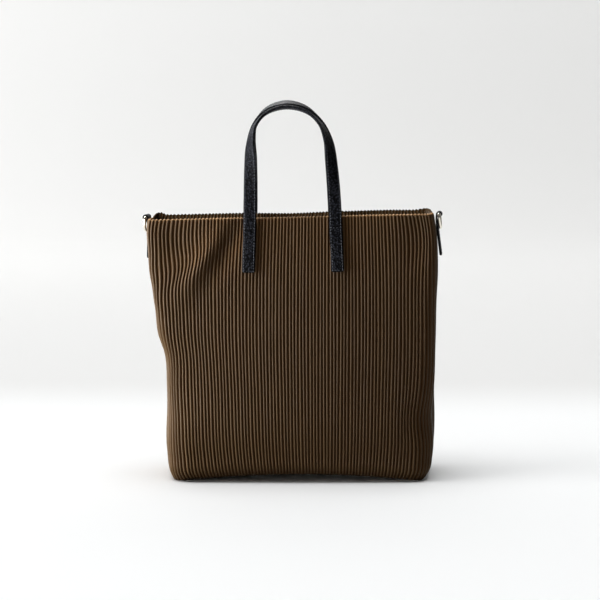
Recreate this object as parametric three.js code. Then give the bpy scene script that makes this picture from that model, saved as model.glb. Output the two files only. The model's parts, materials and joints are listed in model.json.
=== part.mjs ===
// Pleated tote bag standing on its base: two panels of pleated cloth that meet in the middle of each side,
// a cloth base, two leather handles, and on each side a leather tab whose loop carries a metal ring.
// Sizes are in millimetres. +X is the bag's right seen from the front, +Y its back and +Z up.
// The origin is on the floor under the middle of the bag.

import * as THREE from "three";

// Body sizes
const RIM_HEIGHT = 303;
const RIM_RISE = 0.018; // rise of the rim for each millimetre to the right
const ARCH_HEIGHT = 8.2; // how far the base stands off the floor at the top of its arch
const ARCH_TOP = 10; // where along the base that is
const ARCH_LEFT = 141; // length of the arch to the left of its top
const ARCH_RIGHT = 136; // and to the right
const ARCH_FADE = 70; // height where the body no longer follows the arch
const WALL = 1; // cloth inside the pleats
const GAP = 0.3; // clear space between two pieces
const BASE_THICK = 2;
const BASE_STEPS = 28; // along the base

// Pleats
const PLEATS = 98; // on each panel
const PLEAT_DEPTH = 1.3;
const STILL_PLEAT = 58.5; // this pleat stands upright, and the others keep their pitch from it
const STILL_X = 40; // where it stands
const INSIDE_STEPS = 49; // the inside of a panel is plain

// The body at each height. left and right are where the side seams lie, depth is from the middle to the front,
// corner is the radius between front and side, swellLeft and swellRight are how far each seam stands out past
// its corners, bulge is how far the front rounds out and pitch the width of a pleat on the front.
const SECTIONS = [
  // height, left, right, depth, corner, swellLeft, swellRight, bulge, pitch
  [0, -137, 152, 43.5, 11, 3, 3, 2, 3.58],
  [8, -141, 157.5, 52, 17, 5, 4, 3, 3.6],
  [30, -144.5, 162.5, 54, 20, 7, 4, 5, 3.68],
  [112, -143.5, 164, 49.5, 17, 8, 4, 7.5, 3.82],
  [149, -147.8, 164.5, 47.3, 14, 8, 4, 7.5, 3.87],
  [165, -153.5, 165, 46.4, 13, 7, 4.5, 7.1, 3.88],
  [200, -157, 165.5, 44.5, 11, 3, 5, 5.8, 3.88],
  [236, -161.5, 167, 42, 9, -1, 6, 4.3, 3.86],
  [270, -161.5, 165.4, 39, 8, -1, 6, 2, 3.8],
  [303, -160.5, 161, 35.5, 5, 0, 6, -1, 3.74],
].map(([height, left, right, depth, corner, swellLeft, swellRight, bulge, pitch]) => ({
  height, left, right, depth, corner, swellLeft, swellRight, bulge, pitch,
}));

// Soft folds. side is -1 on the front and 1 on the back, x and height give the middle, wide and tall the half
// sizes, and lean how far the fold moves right for each millimetre up. push is how far the cloth stands out,
// slide how far its pleats move right and rise how far they move up.
const FOLDS = [
  { side: -1, x: -78, height: 265, wide: 12, tall: 40, lean: 0.55, push: -5, slide: 0, rise: 0 },
  { side: -1, x: -104, height: 251, wide: 14, tall: 36, lean: 0.6, push: 4, slide: 0, rise: 0 },
  { side: -1, x: -128, height: 272, wide: 17, tall: 26, lean: 0, push: -3, slide: 0, rise: 0 },
  { side: -1, x: -130, height: 248, wide: 22, tall: 30, lean: 1.05, push: 1, slide: 4, rise: 0 },
  { side: -1, x: -150, height: 292, wide: 25, tall: 22, lean: 0, push: 0, slide: -4, rise: 0 },
  { side: -1, x: 142, height: 278, wide: 20, tall: 34, lean: 0, push: -3, slide: 5, rise: 0 },
  { side: -1, x: 154, height: 72, wide: 25, tall: 26, lean: 0, push: -2, slide: -5, rise: 0 },
  { side: -1, x: -132, height: 104, wide: 22, tall: 26, lean: 0, push: -3, slide: -2, rise: 0 },
  { side: -1, x: 110, height: 303, wide: 90, tall: 30, lean: 0, push: 0, slide: 0, rise: 1.1 },
  { side: -1, x: -80, height: 303, wide: 28, tall: 30, lean: 0, push: 0, slide: 0, rise: 0.6 },
  { side: 1, x: 0, height: 303, wide: 170, tall: 30, lean: 0, push: 0, slide: 0, rise: 1.5 },
  { side: 1, x: -2, height: 303, wide: 38, tall: 30, lean: 0, push: 0, slide: 0, rise: -1.5 },
  { side: 1, x: 115, height: 303, wide: 40, tall: 30, lean: 0, push: 0, slide: 0, rise: 0.8 },
  { side: 1, x: -156, height: 303, wide: 6, tall: 24, lean: 0, push: -2, slide: 2, rise: 3 },
  { side: 1, x: 154, height: 303, wide: 7, tall: 24, lean: 0, push: -1, slide: 2, rise: 2 },
  { side: 1, x: 78, height: 250, wide: 14, tall: 44, lean: -0.2, push: -3, slide: 0, rise: 0 },
];

// Handles. x and height follow the strap's middle line seen from the front, lean runs from 0 where the strap
// lies on its panel to 1 at the top of the arch, and turn is how far its face has turned outwards in degrees.
const STRAP_WIDTH = 14.6;
const STRAP_THICK = 3.4;
const STRAP_EDGE = 0.8; // bevel of the strap's long edges
const STRAP_GAP = 0.5; // clear space between a strap and the ridges that it lies on
const STRAP_STEPS = 28;
const FRONT_TOP_Y = 15; // distance of the front handle's top from the middle of the bag
const BACK_TOP_Y = 2; // the back handle leans further in
const BACK_RISE = 4.7; // and stands taller
const HANDLE_PATH = [
  { x: -49.6, height: 240.5, lean: 0, turn: 0 },
  { x: -48.8, height: 270, lean: 0, turn: 0 },
  { x: -48.3, height: 288, lean: 0, turn: 0 },
  { x: -48, height: 308, lean: 0, turn: 0 },
  { x: -47.8, height: 336, lean: 0.24, turn: 6 },
  { x: -47.8, height: 364, lean: 0.48, turn: 24 },
  { x: -47.4, height: 385, lean: 0.66, turn: 54 },
  { x: -42.5, height: 405, lean: 0.83, turn: 78 },
  { x: -29, height: 420, lean: 0.95, turn: 86 },
  { x: -7, height: 426.5, lean: 1, turn: 90 },
  { x: 15.5, height: 421.5, lean: 0.96, turn: 86 },
  { x: 32.5, height: 407, lean: 0.84, turn: 76 },
  { x: 41.5, height: 386, lean: 0.66, turn: 50 },
  { x: 45, height: 363, lean: 0.48, turn: 22 },
  { x: 47.4, height: 336, lean: 0.24, turn: 6 },
  { x: 49, height: 308, lean: 0, turn: 0 },
  { x: 49.6, height: 288, lean: 0, turn: 0 },
  { x: 50.4, height: 270, lean: 0, turn: 0 },
  { x: 51.8, height: 241.5, lean: 0, turn: 0 },
];

// Side tabs and rings
const TAB_WIDTH = 14;
const TAB_THICK = 2.4;
const TAB_LENGTH = 47; // from the ring's bar to the sewn lower end
const TAB_NECK = 7; // from the ring's bar down to where the strip's two layers meet
// y is how far a tab sits behind the seam and drop how far the ring's bar is under the rim. yaw turns a tab's
// face forward, slant its lower end outwards and hang the ring away from the tab, in degrees.
const TABS = [
  { word: "left", hand: -1, y: 6, drop: 0.5, yaw: -11, slant: 1.5, hang: 1 },
  { word: "right", hand: 1, y: -8, drop: 2.5, yaw: 8, slant: 7.5, hang: -1.5 },
];
const LOOP_OUT = 5; // the ring's bar from the tab's sewn face
const LOOP_WALL = 1.6;
const WIRE = 1.6; // radius of the ring's wire
const BAR_PLAY = 0.4; // clear space round the bar in its loop
const RING_WIDTH = 19; // between the middles of the wire
const RING_DROP = 15.5; // from the bar to the lowest wire
const RING_CORNER = 3; // bend at each end of the bar
const RING_STEPS = 20;
const WIRE_SIDES = 8;

const rad = THREE.MathUtils.degToRad;
const mix = THREE.MathUtils.lerp;

const cloth = new THREE.MeshStandardMaterial({ color: 0x6b543c, roughness: 0.8, metalness: 0 });
const leather = new THREE.MeshStandardMaterial({ color: 0x232428, roughness: 0.5, metalness: 0 });
const metal = new THREE.MeshStandardMaterial({ color: 0xd8d2c4, roughness: 0.2, metalness: 1 });

// A closed solid from its points and triangles, turned so that its faces look outwards
function solid(points, triangles) {
  let volume = 0;
  for (const [a, b, c] of triangles) {
    volume += points[a].dot(points[b].clone().cross(points[c]));
  }
  const order = volume < 0 ? triangles.map(([a, b, c]) => [a, c, b]) : triangles;
  const geometry = new THREE.BufferGeometry();
  geometry.setFromPoints(points);
  geometry.setIndex(order.flat());
  geometry.computeVertexNormals();
  return geometry;
}

// A solid through a row of closed sections, with flat ends or closed on itself
function loft(sections, closed = false) {
  const points = sections.flat();
  const count = sections[0].length;
  const triangles = [];
  const last = closed ? sections.length : sections.length - 1;
  for (let j = 0; j < last; j++) {
    const here = j * count;
    const next = ((j + 1) % sections.length) * count;
    for (let i = 0; i < count; i++) {
      const k = (i + 1) % count;
      triangles.push([here + i, here + k, next + k], [here + i, next + k, next + i]);
    }
  }
  if (!closed) {
    const end = last * count;
    for (let i = 1; i < count - 1; i++) {
      triangles.push([0, i + 1, i], [end, end + i, end + i + 1]);
    }
  }
  return solid(points, triangles);
}

// The body's section at a height
function sectionAt(height) {
  let j = 0;
  while (j < SECTIONS.length - 2 && height > SECTIONS[j + 1].height) {
    j += 1;
  }
  const low = SECTIONS[j];
  const high = SECTIONS[j + 1];
  const t = THREE.MathUtils.clamp((height - low.height) / (high.height - low.height), 0, 1);
  const section = {};
  for (const key of Object.keys(low)) {
    section[key] = mix(low[key], high[key], t);
  }
  return section;
}

// A point of half a section, so many pleats from the left seam on the way round the front to the right seam.
// out moves it off the wall.
function planPoint(section, pleat, out) {
  const { depth, corner, bulge, pitch } = section;
  const left = section.left + section.swellLeft;
  const right = section.right - section.swellRight;
  const side = depth - corner;
  const bend = (Math.PI / 2) * corner;
  const front = right - left - 2 * corner;
  const still = side + bend + STILL_X - left - corner;
  const off = pleat - STILL_PLEAT;
  const count = off < 0 ? STILL_PLEAT : PLEATS - STILL_PLEAT;
  const length = off < 0 ? still : 2 * side + 2 * bend + front - still;
  let way = still + pitch * off + (length - pitch * count) * Math.sign(off) * (off / count) ** 4;
  let x, y, nx, ny;
  if (way < side) {
    [x, y, nx, ny] = [left, way, -1, 0];
  } else if (way < side + bend) {
    const turn = (way - side) / corner;
    [nx, ny] = [-Math.cos(turn), Math.sin(turn)];
    [x, y] = [left + corner + nx * corner, side + ny * corner];
  } else if (way < side + bend + front) {
    way -= side + bend;
    [x, y, nx, ny] = [left + corner + way, depth, 0, 1];
  } else if (way < side + 2 * bend + front) {
    const turn = (way - side - bend - front) / corner;
    [nx, ny] = [Math.sin(turn), Math.cos(turn)];
    [x, y] = [right - corner + nx * corner, side + ny * corner];
  } else {
    way -= side + 2 * bend + front;
    [x, y, nx, ny] = [right, Math.max(0, side - way), 1, 0];
  }
  const across = (x - (left + right) / 2) / ((right - left) / 2);
  const swell = across < 0 ? -section.swellLeft : section.swellRight;
  const along = y / depth;
  const round = Math.max(0, 1 - across * across);
  x += swell * (1 - along * along) * Math.abs(across) ** 6;
  y += bulge * round * along ** 4;
  return new THREE.Vector2(x + nx * out, y + ny * out);
}

// Height above the floor of a body point, with the sloping rim and the arched base
function heightAt(x, height) {
  const rim = height * (1 + (RIM_RISE * x) / RIM_HEIGHT);
  const off = x - ARCH_TOP;
  const arch = Math.max(0, 1 - (off / (off < 0 ? ARCH_LEFT : ARCH_RIGHT)) ** 2);
  const fade = Math.max(0, 1 - height / ARCH_FADE) ** 2;
  return rim + ARCH_HEIGHT * arch * fade;
}

// A point of the body's wall. side is -1 for the front panel and 1 for the back panel.
function bodyPoint(side, pleat, height, out) {
  const plan = planPoint(sectionAt(height), pleat, out);
  const point = new THREE.Vector3(plan.x, plan.y, heightAt(plan.x, height));
  const reach = Math.min(1, Math.max(0, plan.y / 20));
  for (const fold of FOLDS.filter((row) => row.side === side)) {
    const dz = height - fold.height;
    const dx = plan.x - fold.x - fold.lean * dz;
    const weight = reach * Math.exp(-((dx / fold.wide) ** 2) - (dz / fold.tall) ** 2);
    point.x += fold.slide * weight;
    point.y += fold.push * weight;
    point.z += fold.rise * weight;
  }
  point.y = side * Math.max(point.y, GAP / 2);
  return point;
}

// A panel: pleated outside, plain inside, with a flat rim, a flat lower edge and its two seam edges
function panel(side) {
  const steps = PLEATS * 2;
  const share = steps / INSIDE_STEPS;
  const rows = SECTIONS.map((section) => section.height);
  const points = [];
  const triangles = [];
  const outer = (i, j) => j * (steps + 1) + i;
  const inner = (k, j) => rows.length * (steps + 1) + j * (INSIDE_STEPS + 1) + k;
  for (const height of rows) {
    for (let i = 0; i <= steps; i++) {
      points.push(bodyPoint(side, i / 2, height, (i % 2) * PLEAT_DEPTH));
    }
  }
  for (const height of rows) {
    for (let k = 0; k <= INSIDE_STEPS; k++) {
      points.push(bodyPoint(side, (k * PLEATS) / INSIDE_STEPS, height, -WALL));
    }
  }
  const quad = (a, b, c, d) => triangles.push([a, b, c], [a, c, d]);
  const top = rows.length - 1;
  for (let j = 0; j < top; j++) {
    for (let i = 0; i < steps; i++) {
      quad(outer(i, j), outer(i + 1, j), outer(i + 1, j + 1), outer(i, j + 1));
    }
    for (let k = 0; k < INSIDE_STEPS; k++) {
      quad(inner(k + 1, j), inner(k, j), inner(k, j + 1), inner(k + 1, j + 1));
    }
    quad(inner(0, j), outer(0, j), outer(0, j + 1), inner(0, j + 1));
    quad(outer(steps, j), inner(INSIDE_STEPS, j), inner(INSIDE_STEPS, j + 1), outer(steps, j + 1));
  }
  for (let k = 0; k < INSIDE_STEPS; k++) {
    const turn = Math.floor(share / 2);
    for (let m = 0; m < share; m++) {
      const i = k * share + m;
      const near = m < turn ? k : k + 1;
      triangles.push([outer(i, top), outer(i + 1, top), inner(near, top)]);
      triangles.push([outer(i + 1, 0), outer(i, 0), inner(near, 0)]);
    }
    const i = k * share + turn;
    triangles.push([outer(i, top), inner(k + 1, top), inner(k, top)]);
    triangles.push([inner(k + 1, 0), outer(i, 0), inner(k, 0)]);
  }
  return solid(points, triangles);
}

// The base fills the lower edge of the two panels and follows its arch
function basePanel() {
  const sections = [];
  for (let k = 1; k < BASE_STEPS; k++) {
    const { x, y } = planPoint(SECTIONS[0], (k * PLEATS) / BASE_STEPS, -WALL - GAP);
    const low = heightAt(x, 0);
    const high = low + BASE_THICK;
    const corners = [[-y, low], [y, low], [y, high], [-y, high]];
    sections.push(corners.map(([across, up]) => new THREE.Vector3(x, across, up)));
  }
  return loft(sections);
}

// How far the ridges behind a strap stand from the middle of the bag, at a height above the floor
function ridgeAt(side, x, floorHeight) {
  let best = 0;
  for (let i = 1; i < PLEATS * 2; i += 2) {
    const ridge = SECTIONS.map(({ height }) => bodyPoint(side, i / 2, height, PLEAT_DEPTH));
    const j = ridge.findIndex((row) => row.z >= floorHeight);
    const point = ridge.at(j).clone();
    if (j > 0) {
      point.lerp(ridge[j - 1], (point.z - floorHeight) / (point.z - ridge[j - 1].z));
    }
    if (Math.abs(point.x - x) < STRAP_WIDTH / 2 + 3) {
      best = Math.max(best, Math.abs(point.y));
    }
  }
  return best;
}

// A handle: a flat strap that lies on its panel, leans in above the rim and turns its face out over the arch
function handle(side, topY, rise) {
  const top = Math.max(...HANDLE_PATH.map((row) => row.height));
  const middle = new THREE.CatmullRomCurve3(
    HANDLE_PATH.map((row) => {
      const onPanel = ridgeAt(side, row.x, row.height) + STRAP_GAP + STRAP_THICK / 2;
      return new THREE.Vector3(row.x, side * mix(onPanel, topY, row.lean), row.height + rise * row.lean);
    }),
    false,
    "centripetal",
  );
  const rows = new THREE.CatmullRomCurve3(
    HANDLE_PATH.map((row) => new THREE.Vector3(row.turn, row.lean, 0)),
    false,
    "centripetal",
  );
  const slope = (ridgeAt(side, HANDLE_PATH[3].x, RIM_HEIGHT) - topY) / (top - RIM_HEIGHT);
  const w = STRAP_WIDTH / 2;
  const t = STRAP_THICK / 2;
  const e = STRAP_EDGE;
  const rim = [
    [-w, -t + e], [-w + e, -t], [w - e, -t], [w, -t + e],
    [w, t - e], [w - e, t], [-w + e, t], [-w, t - e],
  ];
  const sections = [];
  for (let k = 0; k <= STRAP_STEPS; k++) {
    const share = k / STRAP_STEPS;
    const at = middle.getPoint(share);
    const along = middle.getTangent(share);
    const row = rows.getPoint(share);
    const flat = new THREE.Vector3(0, side, slope * row.y);
    flat.addScaledVector(along, -flat.dot(along)).normalize();
    const outwards = along.clone().cross(flat).normalize().multiplyScalar(side);
    const turn = rad(row.x);
    const face = flat.multiplyScalar(Math.cos(turn)).addScaledVector(outwards, Math.sin(turn));
    const across = along.clone().cross(face).normalize();
    sections.push(
      rim.map(([a, b]) => at.clone().addScaledVector(across, a).addScaledVector(face, b)),
    );
  }
  return loft(sections);
}

// Place of a side tab: a group whose origin is the ring's bar, with x outwards and z up. The tab lies on the
// ridges of the cloth behind it.
function tabPlace({ hand, y, drop, yaw, slant }) {
  const place = new THREE.Group();
  place.rotation.order = "ZYX";
  place.rotation.z = hand > 0 ? rad(-yaw) : rad(180 + yaw);
  place.rotation.y = rad(-slant);
  const seam = hand > 0 ? SECTIONS.at(-1).right : SECTIONS.at(-1).left;
  place.position.set(seam, y, heightAt(seam, RIM_HEIGHT) - drop);
  place.updateMatrixWorld();
  let reach = -20;
  for (const { height } of SECTIONS.filter((section) => section.height > RIM_HEIGHT - TAB_LENGTH - 30)) {
    for (let i = 0; i <= PLEATS * 2; i++) {
      for (const side of [-1, 1]) {
        const point = place.worldToLocal(bodyPoint(side, i / 2, height, (i % 2) * PLEAT_DEPTH));
        if (Math.abs(point.y) < TAB_WIDTH / 2 + 3) {
          reach = Math.max(reach, point.x);
        }
      }
    }
  }
  place.translateX(reach + GAP + LOOP_OUT);
  return place;
}

// A side tab: a folded strip whose top makes the loop round the ring's bar
function sideTab() {
  const hole = WIRE + BAR_PLAY;
  const round = hole + LOOP_WALL;
  const shape = new THREE.Shape();
  shape.moveTo(-LOOP_OUT, -TAB_LENGTH);
  shape.lineTo(-LOOP_OUT + TAB_THICK, -TAB_LENGTH);
  shape.lineTo(-LOOP_OUT + TAB_THICK, -TAB_NECK);
  shape.absarc(0, 0, round, rad(-110), rad(180), false);
  shape.lineTo(-LOOP_OUT, -TAB_NECK);
  const bore = new THREE.Path();
  bore.absarc(0, 0, hole, 0, Math.PI * 2, true);
  shape.holes.push(bore);
  const settings = { depth: TAB_WIDTH, bevelEnabled: false, curveSegments: 8 };
  const geometry = new THREE.ExtrudeGeometry(shape, settings);
  geometry.rotateX(Math.PI / 2);
  geometry.translate(0, TAB_WIDTH / 2, 0);
  return geometry;
}

// A ring: wire bent to a D, its straight bar along y through the origin and its round hanging below
function dRing() {
  const half = RING_WIDTH / 2;
  const outline = new THREE.Path();
  outline.moveTo(0, 0);
  outline.lineTo(half - RING_CORNER, 0);
  outline.absarc(half - RING_CORNER, -RING_CORNER, RING_CORNER, rad(90), 0, true);
  outline.absellipse(0, -RING_CORNER, half, RING_DROP - RING_CORNER, 0, rad(-180), true);
  outline.absarc(-half + RING_CORNER, -RING_CORNER, RING_CORNER, rad(180), rad(90), true);
  outline.lineTo(0, 0);
  const sections = [];
  for (let k = 0; k < RING_STEPS; k++) {
    const at = outline.getPointAt(k / RING_STEPS);
    const along = outline.getTangentAt(k / RING_STEPS);
    const section = [];
    for (let i = 0; i < WIRE_SIDES; i++) {
      const turn = (i / WIRE_SIDES) * Math.PI * 2;
      const off = WIRE * Math.cos(turn);
      section.push(new THREE.Vector3(WIRE * Math.sin(turn), at.x - along.y * off, at.y + along.x * off));
    }
    sections.push(section);
  }
  return loft(sections, true);
}

function mesh(name, geometry, material) {
  const made = new THREE.Mesh(geometry, material.clone());
  made.name = name;
  return made;
}

const bag = new THREE.Group();
bag.name = "tote_bag";
bag.add(mesh("front_panel", panel(-1), cloth));
bag.add(mesh("back_panel", panel(1), cloth));
bag.add(mesh("base_panel", basePanel(), cloth));
bag.add(mesh("handle_front", handle(-1, FRONT_TOP_Y, 0), leather));
bag.add(mesh("handle_back", handle(1, BACK_TOP_Y, BACK_RISE), leather));
for (const row of TABS) {
  const place = tabPlace(row);
  const ring = mesh(`d_ring_${row.word}`, dRing(), metal);
  ring.rotation.y = rad(-row.hang);
  place.add(mesh(`side_tab_${row.word}`, sideTab(), leather));
  place.add(ring);
  bag.add(place);
}

export default bag;
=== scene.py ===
# Pleated tote bag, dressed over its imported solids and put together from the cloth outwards.

import json
import math

import bpy
import numpy as np
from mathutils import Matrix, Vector


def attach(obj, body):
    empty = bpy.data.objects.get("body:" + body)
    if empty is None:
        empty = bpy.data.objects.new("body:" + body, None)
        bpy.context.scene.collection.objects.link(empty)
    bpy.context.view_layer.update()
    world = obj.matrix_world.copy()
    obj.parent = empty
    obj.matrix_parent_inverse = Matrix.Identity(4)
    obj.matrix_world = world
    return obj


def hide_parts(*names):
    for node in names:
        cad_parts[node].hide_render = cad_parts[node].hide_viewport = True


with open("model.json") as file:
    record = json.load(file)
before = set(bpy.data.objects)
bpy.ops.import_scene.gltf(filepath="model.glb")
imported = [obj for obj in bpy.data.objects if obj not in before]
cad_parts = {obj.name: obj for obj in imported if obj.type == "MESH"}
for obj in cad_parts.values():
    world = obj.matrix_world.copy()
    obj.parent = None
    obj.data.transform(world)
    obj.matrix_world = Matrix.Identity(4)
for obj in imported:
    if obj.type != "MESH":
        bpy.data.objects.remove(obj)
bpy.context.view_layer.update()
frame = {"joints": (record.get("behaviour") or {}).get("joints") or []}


# Pleated cloth panels
# The body is two panels of thin brown polyester, heat-set into narrow upright pleats. They meet in a seam at
# the middle of each side, are turned in at the rim and run under to the base.

MM = 0.001
RIM_HEIGHT = 303
RIM_RISE = 0.018
ARCH_HEIGHT = 8.2
ARCH_TOP = 10
ARCH_LEFT = 141
ARCH_RIGHT = 136
ARCH_FADE = 70
SEAM_GAP = 0.15
FOLD_FADE = 20  # folds fade out this near to the side seams
PLEATS = 98
STILL_PLEAT = 58.5  # this pleat stands upright, and the others keep their pitch from it
STILL_X = 40
PLEAT_DEPTH = 3.4
RIDGE_OUT = 1.3
CLOTH_THICK = 0.7
RIM_ROLL = 1.6
RIM_SCALLOP = 1.3
COLUMNS_IN_A_PLEAT = 10

# Sizes of the body at each height, in millimetres
SECTIONS = np.array([
    # height, left, right, depth, corner, swell left, swell right, bulge, pitch of the pleats
    (0, -137, 152, 43.5, 11, 3, 3, 2, 3.58),
    (8, -141, 157.5, 52, 17, 5, 4, 3, 3.6),
    (30, -144.5, 162.5, 54, 20, 7, 4, 5, 3.68),
    (112, -143.5, 164, 49.5, 17, 8, 4, 7.5, 3.82),
    (149, -147.8, 164.5, 47.3, 14, 8, 4, 7.5, 3.87),
    (165, -153.5, 165, 46.4, 13, 7, 4.5, 7.1, 3.88),
    (200, -157, 165.5, 44.5, 11, 3, 5, 5.8, 3.88),
    (236, -161.5, 167, 42, 9, -1, 6, 4.3, 3.86),
    (270, -161.5, 165.4, 39, 8, -1, 6, 2, 3.8),
    (303, -160.5, 161, 35.5, 5, 0, 6, -1, 3.74),
])

# Soft folds of the cloth: a middle, half sizes, the way right for each millimetre up, then how far the cloth
# stands out and its pleats move right and up. The front is side -1 and the back is side 1.
FOLDS = [
    # side, x, height, wide, tall, lean, push, slide, rise
    (-1, -78, 265, 12, 40, 0.55, -5, 0, 0),
    (-1, -104, 251, 14, 36, 0.6, 4, 0, 0),
    (-1, -128, 272, 17, 26, 0, -3, 0, 0),
    (-1, -130, 248, 22, 30, 1.05, 1, 4, 0),
    (-1, -150, 292, 25, 22, 0, 0, -4, 0),
    (-1, 142, 278, 20, 34, 0, -3, 5, 0),
    (-1, 154, 72, 25, 26, 0, -2, -5, 0),
    (-1, -132, 104, 22, 26, 0, -3, -2, 0),
    (-1, 110, 303, 90, 30, 0, 0, 0, 1.1),
    (-1, -80, 303, 28, 30, 0, 0, 0, 0.6),
    (1, 0, 303, 170, 30, 0, 0, 0, 1.5),
    (1, -2, 303, 38, 30, 0, 0, 0, -1.5),
    (1, 115, 303, 40, 30, 0, 0, 0, 0.8),
    (1, -156, 303, 6, 24, 0, -2, 2, 3),
    (1, 154, 303, 7, 24, 0, -1, 2, 2),
    (1, 78, 250, 14, 44, -0.2, -3, 0, 0),
]


def section_at(height):
    """The body's sizes at each height, on a smooth curve through the table."""
    rows = SECTIONS[:, 0]
    slopes = np.gradient(SECTIONS, rows, axis=0)
    low = np.clip(np.searchsorted(rows, height) - 1, 0, len(rows) - 2)
    tall = (rows[low + 1] - rows[low])[..., None]
    t = (height - rows[low])[..., None] / tall
    stay = SECTIONS[low] * (1 + 2 * t) * (1 - t) ** 2 + SECTIONS[low + 1] * (3 - 2 * t) * t**2
    return stay + tall * t * (1 - t) * (slopes[low] * (1 - t) - slopes[low + 1] * t)


def wall_point(side, pleat, height, out):
    """A point of the body's wall, so many pleats from the left seam on the way to the right one."""
    pleat, height, out = np.broadcast_arrays(*(np.asarray(v, float) for v in (pleat, height, out)))
    sizes = np.moveaxis(section_at(height), -1, 0)
    _, left, right, depth, corner, swell_left, swell_right, bulge, pitch = sizes
    left = left + swell_left
    right = right - swell_right
    flank = depth - corner
    bend = math.pi / 2 * corner
    front = right - left - 2 * corner
    still = flank + bend + STILL_X - left - corner
    off = pleat - STILL_PLEAT
    count = np.where(off < 0, STILL_PLEAT, PLEATS - STILL_PLEAT)
    length = np.where(off < 0, still, 2 * flank + 2 * bend + front - still)
    way = still + pitch * off + (length - pitch * count) * np.sign(off) * (off / count) ** 4
    first = np.clip((way - flank) / corner, 0, math.pi / 2)
    second = np.clip((way - flank - bend - front) / corner, 0, math.pi / 2)
    x = left + corner * (1 - np.cos(first) + np.sin(second)) + np.clip(way - flank - bend, 0, front)
    y = np.clip(way, 0, flank) + corner * (np.sin(first) - 1 + np.cos(second))
    y -= np.clip(way - flank - 2 * bend - front, 0, flank)
    across = (2 * x - left - right) / (right - left)
    along = y / depth
    x += np.where(across < 0, -swell_left, swell_right) * (1 - along**2) * np.abs(across) ** 6
    y += bulge * np.maximum(0, 1 - across**2) * along**4
    x -= np.cos(first + second) * out
    y += np.sin(first + second) * out
    off = x - ARCH_TOP
    arch = np.maximum(0, 1 - (off / np.where(off < 0, ARCH_LEFT, ARCH_RIGHT)) ** 2)
    arch *= np.maximum(0, 1 - height / ARCH_FADE) ** 2
    point = np.stack([x, y, height * (1 + RIM_RISE * x / RIM_HEIGHT) + ARCH_HEIGHT * arch], -1)
    reach = np.clip(y / FOLD_FADE, 0, 1)
    for _, fold_x, fold_height, wide, tall, lean, push, slide, rise in (f for f in FOLDS if f[0] == side):
        up = height - fold_height
        weight = reach * np.exp(-(((x - fold_x - lean * up) / wide) ** 2) - (up / tall) ** 2)
        point += weight[..., None] * (slide, push, rise)
    point[..., 1] = side * np.maximum(point[..., 1], SEAM_GAP)
    return point


def colour(code):
    """Linear colour of an sRGB hex code."""
    channels = [int(code[k:k + 2], 16) / 255 for k in (1, 3, 5)]
    return (*(c / 12.92 if c <= 0.04045 else ((c + 0.055) / 1.055) ** 2.4 for c in channels), 1)


def add(tree, kind, inputs=None, **settings):
    """Adds a node. An input that is given a socket is linked, and any other value is set."""
    node = tree.nodes.new(kind)
    for name, value in settings.items():
        setattr(node, name, value)
    for name, value in (inputs or {}).items():
        if isinstance(value, bpy.types.NodeSocket):
            tree.links.new(value, node.inputs[name])
        else:
            node.inputs[name].default_value = value
    return node


def new_material(name):
    """An empty material with its node tree, ready for its shader."""
    material = bpy.data.materials.new(name)
    material.use_nodes = True
    material.node_tree.nodes.clear()
    return material, material.node_tree


def new_piece(name, points, faces, material, edges=()):
    """A mesh piece from points in millimetres, smooth shaded."""
    mesh = bpy.data.meshes.new(name)
    mesh.from_pydata((np.asarray(points).reshape(-1, 3) * MM).tolist(), edges, faces)
    mesh.shade_smooth()
    mesh.materials.append(material)
    piece = bpy.data.objects.new(name, mesh)
    bpy.context.scene.collection.objects.link(piece)
    return piece


def add_point_values(piece, name, kind, values):
    """Stores a value for each point of a piece."""
    attribute = piece.data.attributes.new(name, kind, "POINT")
    field = "vector" if kind == "FLOAT_VECTOR" else "value"
    attribute.data.foreach_set(field, np.ravel(values).astype(np.float32))


def apply_tree(piece, tree, values):
    """Runs a Geometry Nodes tree with its named sizes on a piece and keeps the result as a plain mesh."""
    modifier = piece.modifiers.new(tree.name, "NODES")
    modifier.node_group = tree
    for socket in tree.interface.items_tree:
        if socket.in_out == "INPUT" and socket.name in values:
            modifier[socket.identifier] = values[socket.name]
    evaluated = piece.evaluated_get(bpy.context.evaluated_depsgraph_get())
    made = bpy.data.meshes.new_from_object(evaluated)
    piece.modifiers.remove(modifier)
    piece.data = made
    made.name = piece.name
    return piece


def woven_relief(tree, place, thread, strength, depth):
    """Bump of a plain weave, from two sets of threads that cross."""
    threads = {"Vector": place, "Scale": 2 * math.pi / (20 * thread)}
    weft = add(tree, "ShaderNodeTexWave", threads, bands_direction="X").outputs["Fac"]
    warp = add(tree, "ShaderNodeTexWave", threads, bands_direction="Y").outputs["Fac"]
    weave = add(tree, "ShaderNodeMath", {0: weft, 1: warp}, operation="MULTIPLY").outputs[0]
    return add(tree, "ShaderNodeBump", {"Height": weave, "Strength": strength, "Distance": depth}).outputs[0]


# Woven polyester, heat-set: brown with a faint gloss along the ridges and none where the pleats close. In the
# valleys a redder brown is painted in as painted shade, for the light that dims and reddens between the
# pleats' walls. Its threads are about 0.3 mm apart and are drawn three times as coarse, so that they show.
THREAD_MM = 0.9
pleated_cloth, tree = new_material("pleated polyester")
pleat_place = add(tree, "ShaderNodeAttribute", attribute_name="pleat").outputs["Fac"]
pleat_side = add(tree, "ShaderNodeMath", {0: pleat_place}, operation="FRACT").outputs[0]
pleat_wave = add(tree, "ShaderNodeMath", {0: pleat_side, 1: 0.5}, operation="SUBTRACT").outputs[0]
pleat_far = add(tree, "ShaderNodeMath", {0: pleat_wave}, operation="ABSOLUTE").outputs[0]
inner_side = add(tree, "ShaderNodeAttribute", attribute_name="inner_side").outputs["Fac"]
other_far = add(tree, "ShaderNodeMath", {0: 0.5, 1: pleat_far}, operation="SUBTRACT").outputs[0]
from_ridge = add(tree, "ShaderNodeMix", {"Factor": inner_side, 2: pleat_far, 3: other_far}).outputs[0]
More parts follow.
